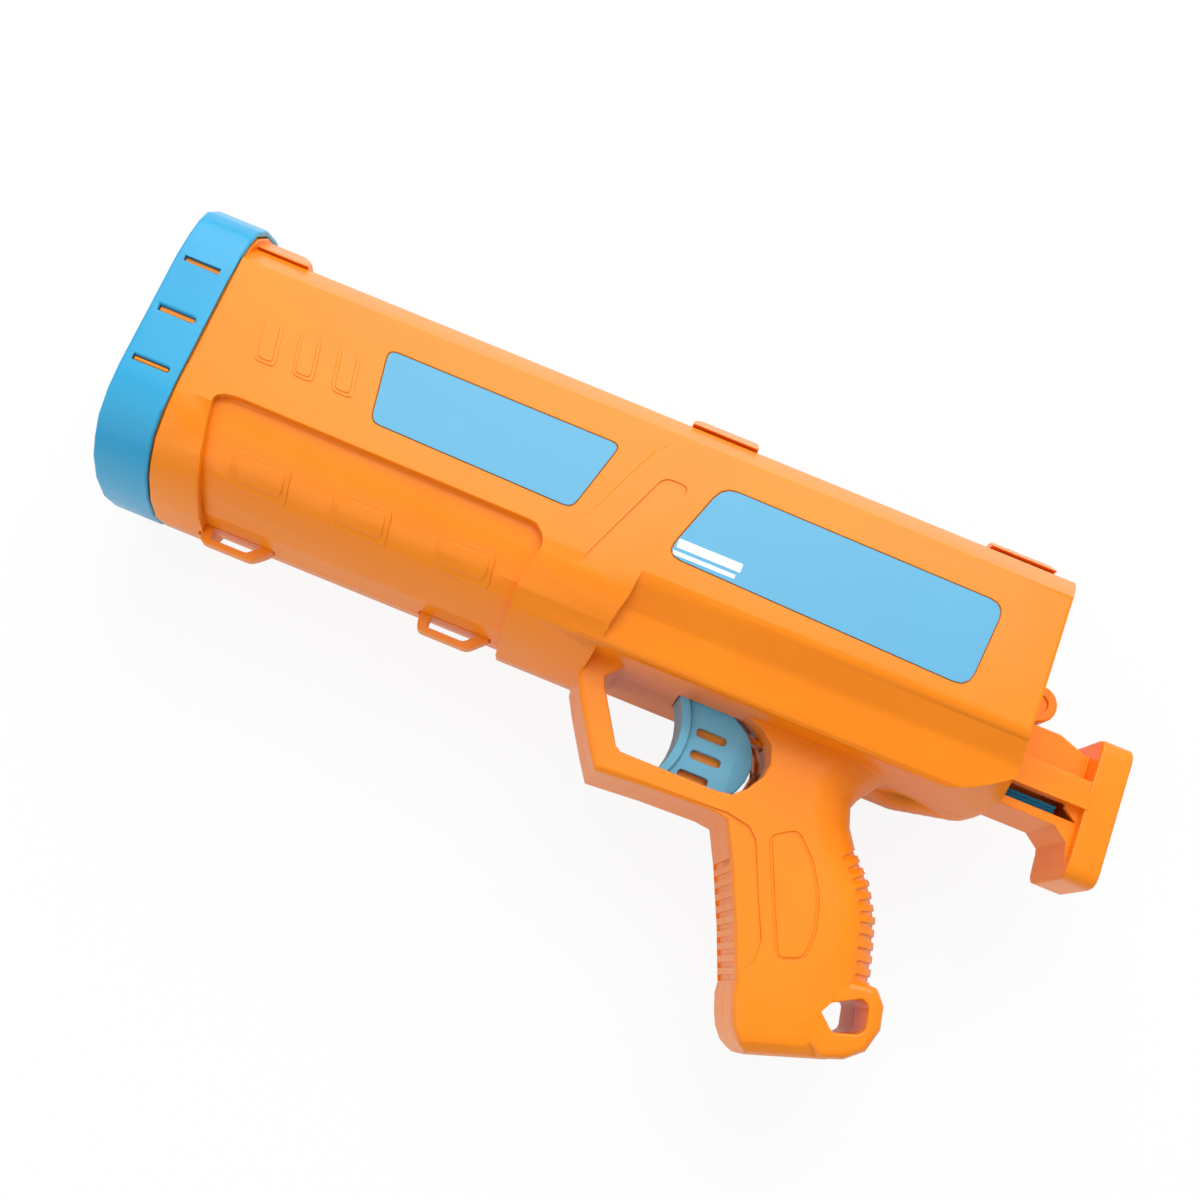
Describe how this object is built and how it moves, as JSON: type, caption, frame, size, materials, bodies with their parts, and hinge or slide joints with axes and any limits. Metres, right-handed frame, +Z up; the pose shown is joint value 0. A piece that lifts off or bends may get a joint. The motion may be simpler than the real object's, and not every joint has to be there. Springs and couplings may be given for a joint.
{
  "type": "ball launcher",
  "caption": "Hand-held spring ball launcher for dogs: a boxy barrel housing with guard and grip, a muzzle ring, a trigger and a sliding T pull handle at the rear.",
  "frame": {"origin": "centre of the bounding box's footprint, on the plane that the launcher's right side lies on", "axes": "+X rearward along the barrel, from the muzzle to the pull handle; +Y to the launcher's top, away from the grip; +Z up, out of its left side"},
  "size_m": [0.379, 0.208, 0.0936],
  "materials": {
    "orange_plastic": "glossy moulded plastic",
    "blue_plastic": "satin moulded plastic",
    "printed_label": "satin printed film",
    "grey_plastic": "plain moulded plastic",
    "black_rubber": "matte rubber",
    "spring_steel": "drawn wire and plated screws"
  },
  "bodies": {
    "housing": {"left_housing": "orange_plastic", "right_housing": "orange_plastic", "muzzle_ring": "blue_plastic", "barrel_tube": "grey_plastic", "ball_catch_ring": "black_rubber", "rear_bulkhead": "grey_plastic", "piston_bumper": "black_rubber", "front_strap_loop": "orange_plastic", "rear_strap_loop": "orange_plastic", "front_label": "printed_label", "rear_label": "printed_label", "sear_pin": "spring_steel", "housing_screw_1": "spring_steel", "housing_screw_2": "spring_steel", "housing_screw_3": "spring_steel", "housing_screw_4": "spring_steel", "housing_screw_5": "spring_steel", "housing_screw_6": "spring_steel", "housing_screw_7": "spring_steel", "housing_screw_8": "spring_steel", "main_spring": "spring_steel", "trigger_spring": "spring_steel", "sear_spring": "spring_steel"},
    "handle": {"pull_handle": "orange_plastic"},
    "plunger": {"piston": "grey_plastic", "piston_pad": "black_rubber", "draw_bar": "blue_plastic"},
    "trigger": {"trigger": "blue_plastic", "trigger_slider": "orange_plastic"},
    "sear": {"sear": "grey_plastic"}
  },
  "joints": [
    {"name": "handle_pull", "type": "slide", "parent": "housing", "child": "handle", "axis": [1, 0, 0], "range_m": [0, 0.08], "stiffness_N_per_m": 400, "springref_m": -0.03},
    {"name": "plunger_slide", "type": "slide", "parent": "housing", "child": "plunger", "axis": [1, 0, 0], "range_m": [0, 0.08], "deforming": ["main_spring"]},
    {"name": "trigger_pull", "type": "slide", "parent": "housing", "child": "trigger", "axis": [1, 0, 0], "range_m": [0, 0.005], "stiffness_N_per_m": 600, "springref_m": -0.004, "deforming": ["trigger_spring"]},
    {"name": "sear_tilt", "type": "hinge", "parent": "housing", "child": "sear", "pos_m": [0.0695, 0.00993, 0.0468], "axis": [0, 0, 1], "range_deg": [0, 27.3], "deforming": ["sear_spring"]}
  ],
  "couplings": [
    {"joint": "plunger_slide", "follows": "handle_pull", "ratio": 1},
    {"joint": "sear_tilt", "follows": "trigger_pull", "rad_per_m": 95.24}
  ]
}
